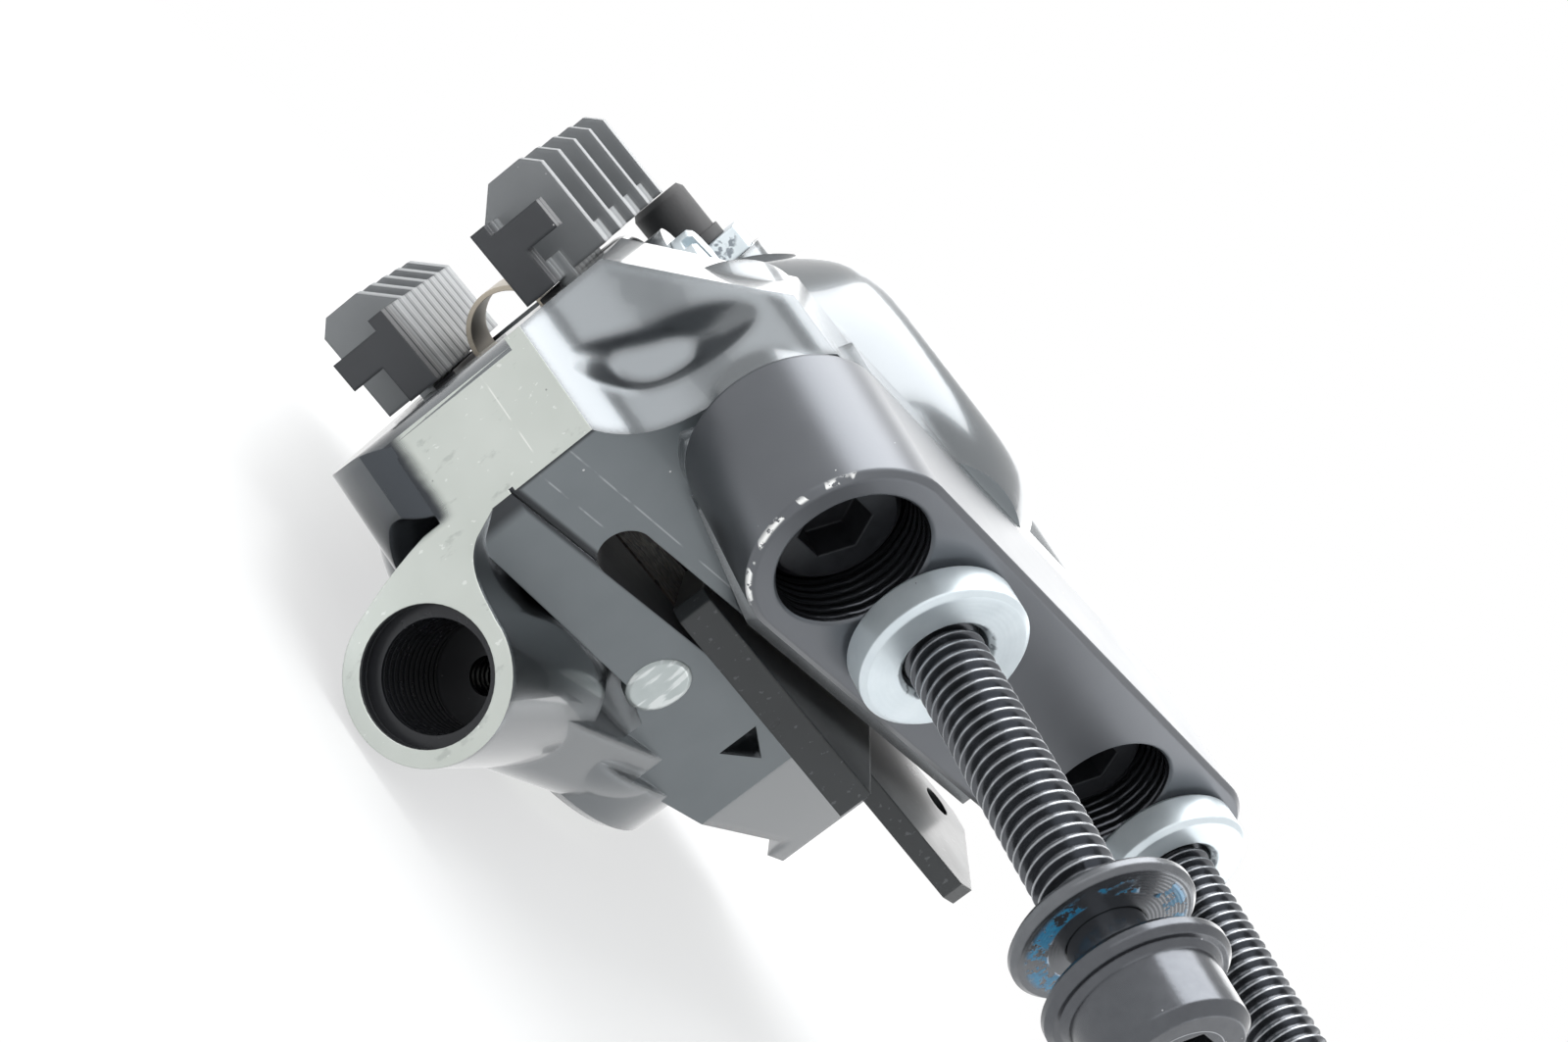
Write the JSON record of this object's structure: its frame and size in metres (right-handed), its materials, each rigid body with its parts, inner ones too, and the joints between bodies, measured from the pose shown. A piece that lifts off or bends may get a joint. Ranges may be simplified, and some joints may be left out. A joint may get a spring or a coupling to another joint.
{
  "type": "bicycle disc brake caliper",
  "caption": "Flat mount hydraulic disc brake caliper for a bicycle, on its mount bracket with long frame bolts, finned pads and a transport spacer in the rotor slot.",
  "frame": {"origin": "midway between the two frame bolts, on the bracket face that is turned to the bicycle frame", "axes": "+X along the caliper from its hose end to its far end, +Y away from the bicycle frame, +Z outboard along the rotor axle"},
  "size_m": [0.0626, 0.0822, 0.0397],
  "materials": {
    "body_paint": "gloss",
    "bracket_paint": "satin",
    "black_steel": "black oxide",
    "zinc_steel": "zinc plated",
    "fin_aluminium": "dark anodised",
    "plate_steel": "dark coated",
    "friction_lining": "sintered, matt",
    "bare_aluminium": "machined",
    "spring_steel": "satin",
    "piston_resin": "satin",
    "spacer_plastic": "moulded",
    "black_rubber": "matt"
  },
  "bodies": {
    "caliper": {"caliper_body": "body_paint", "mount_bracket": "bracket_paint", "caliper_bolts": "black_steel", "outboard_piston_seal": "black_rubber", "inboard_piston_seal": "black_rubber", "bore_cap": "bare_aluminium", "bore_cap_seal": "black_rubber", "pad_return_spring": "spring_steel", "passage_plug": "bare_aluminium"},
    "near_bolt": {"near_frame_bolt": "black_steel"},
    "far_bolt": {"far_frame_bolt": "black_steel"},
    "near_washer": {"near_head_washer": "black_steel"},
    "far_washer": {"far_head_washer": "black_steel"},
    "near_ring": {"near_spacer_ring": "zinc_steel"},
    "far_ring": {"far_spacer_ring": "zinc_steel"},
    "outboard_piston": {"outboard_piston": "piston_resin"},
    "inboard_piston": {"inboard_piston": "piston_resin"},
    "outboard_pad": {"outboard_backplate": "plate_steel", "outboard_lining": "friction_lining", "outboard_heat_sink": "fin_aluminium", "outboard_sink_rivets": "bare_aluminium"},
    "inboard_pad": {"inboard_backplate": "plate_steel", "inboard_lining": "friction_lining", "inboard_heat_sink": "fin_aluminium", "inboard_sink_rivets": "bare_aluminium"},
    "spacer": {"transport_spacer": "spacer_plastic"},
    "axle": {"pad_axle": "zinc_steel", "axle_clip": "spring_steel"},
    "bleed_screw": {"bleed_screw": "zinc_steel"},
    "bleed_cap": {"bleed_cap": "black_rubber"}
  },
  "joints": [
    {"name": "near_bolt_turn", "type": "hinge", "parent": "caliper", "child": "near_bolt", "pos_m": [-0.017, 0, 0], "axis": [0, -1, 0], "continuous": true},
    {"name": "far_bolt_turn", "type": "hinge", "parent": "caliper", "child": "far_bolt", "pos_m": [0.017, 0, 0], "axis": [0, -1, 0], "continuous": true},
    {"name": "near_washer_slide", "type": "slide", "parent": "near_bolt", "child": "near_washer", "axis": [0, -1, 0], "range_m": [0, 0.0029]},
    {"name": "far_washer_slide", "type": "slide", "parent": "far_bolt", "child": "far_washer", "axis": [0, -1, 0], "range_m": [0, 0.0029]},
    {"name": "near_ring_slide", "type": "slide", "parent": "near_bolt", "child": "near_ring", "axis": [0, -1, 0], "range_m": [0, 0.0199]},
    {"name": "far_ring_slide", "type": "slide", "parent": "far_bolt", "child": "far_ring", "axis": [0, -1, 0], "range_m": [0, 0.0199]},
    {"name": "outboard_piston_slide", "type": "slide", "parent": "caliper", "child": "outboard_piston", "axis": [0, 0, -1], "range_m": [0, 0.00045]},
    {"name": "inboard_piston_slide", "type": "slide", "parent": "caliper", "child": "inboard_piston", "axis": [0, 0, 1], "range_m": [0, 0.00045]},
    {"name": "outboard_pad_slide", "type": "slide", "parent": "caliper", "child": "outboard_pad", "axis": [0, 0, -1], "range_m": [0, 0.00045]},
    {"name": "inboard_pad_slide", "type": "slide", "parent": "caliper", "child": "inboard_pad", "axis": [0, 0, 1], "range_m": [0, 0.00045]},
    {"name": "spacer_pull", "type": "slide", "parent": "caliper", "child": "spacer", "axis": [0.7986, -0.6018, 0], "range_m": [0, 0.035]},
    {"name": "axle_turn", "type": "hinge", "parent": "caliper", "child": "axle", "pos_m": [-0.02197, 0.03283, -0.0123], "axis": [0, 0, 1], "continuous": true},
    {"name": "bleed_screw_turn", "type": "hinge", "parent": "caliper", "child": "bleed_screw", "pos_m": [-0.01206, 0.04365, -0.0015], "axis": [-0.7986, 0.6018, 0], "range_deg": [0, 270]},
    {"name": "bleed_cap_pull", "type": "slide", "parent": "bleed_screw", "child": "bleed_cap", "axis": [-0.7986, 0.6018, 0], "range_m": [0, 0.012]}
  ],
  "couplings": [
    {"joint": "inboard_piston_slide", "follows": "outboard_piston_slide", "ratio": 1},
    {"joint": "outboard_pad_slide", "follows": "outboard_piston_slide", "ratio": 1},
    {"joint": "inboard_pad_slide", "follows": "outboard_piston_slide", "ratio": 1}
  ]
}
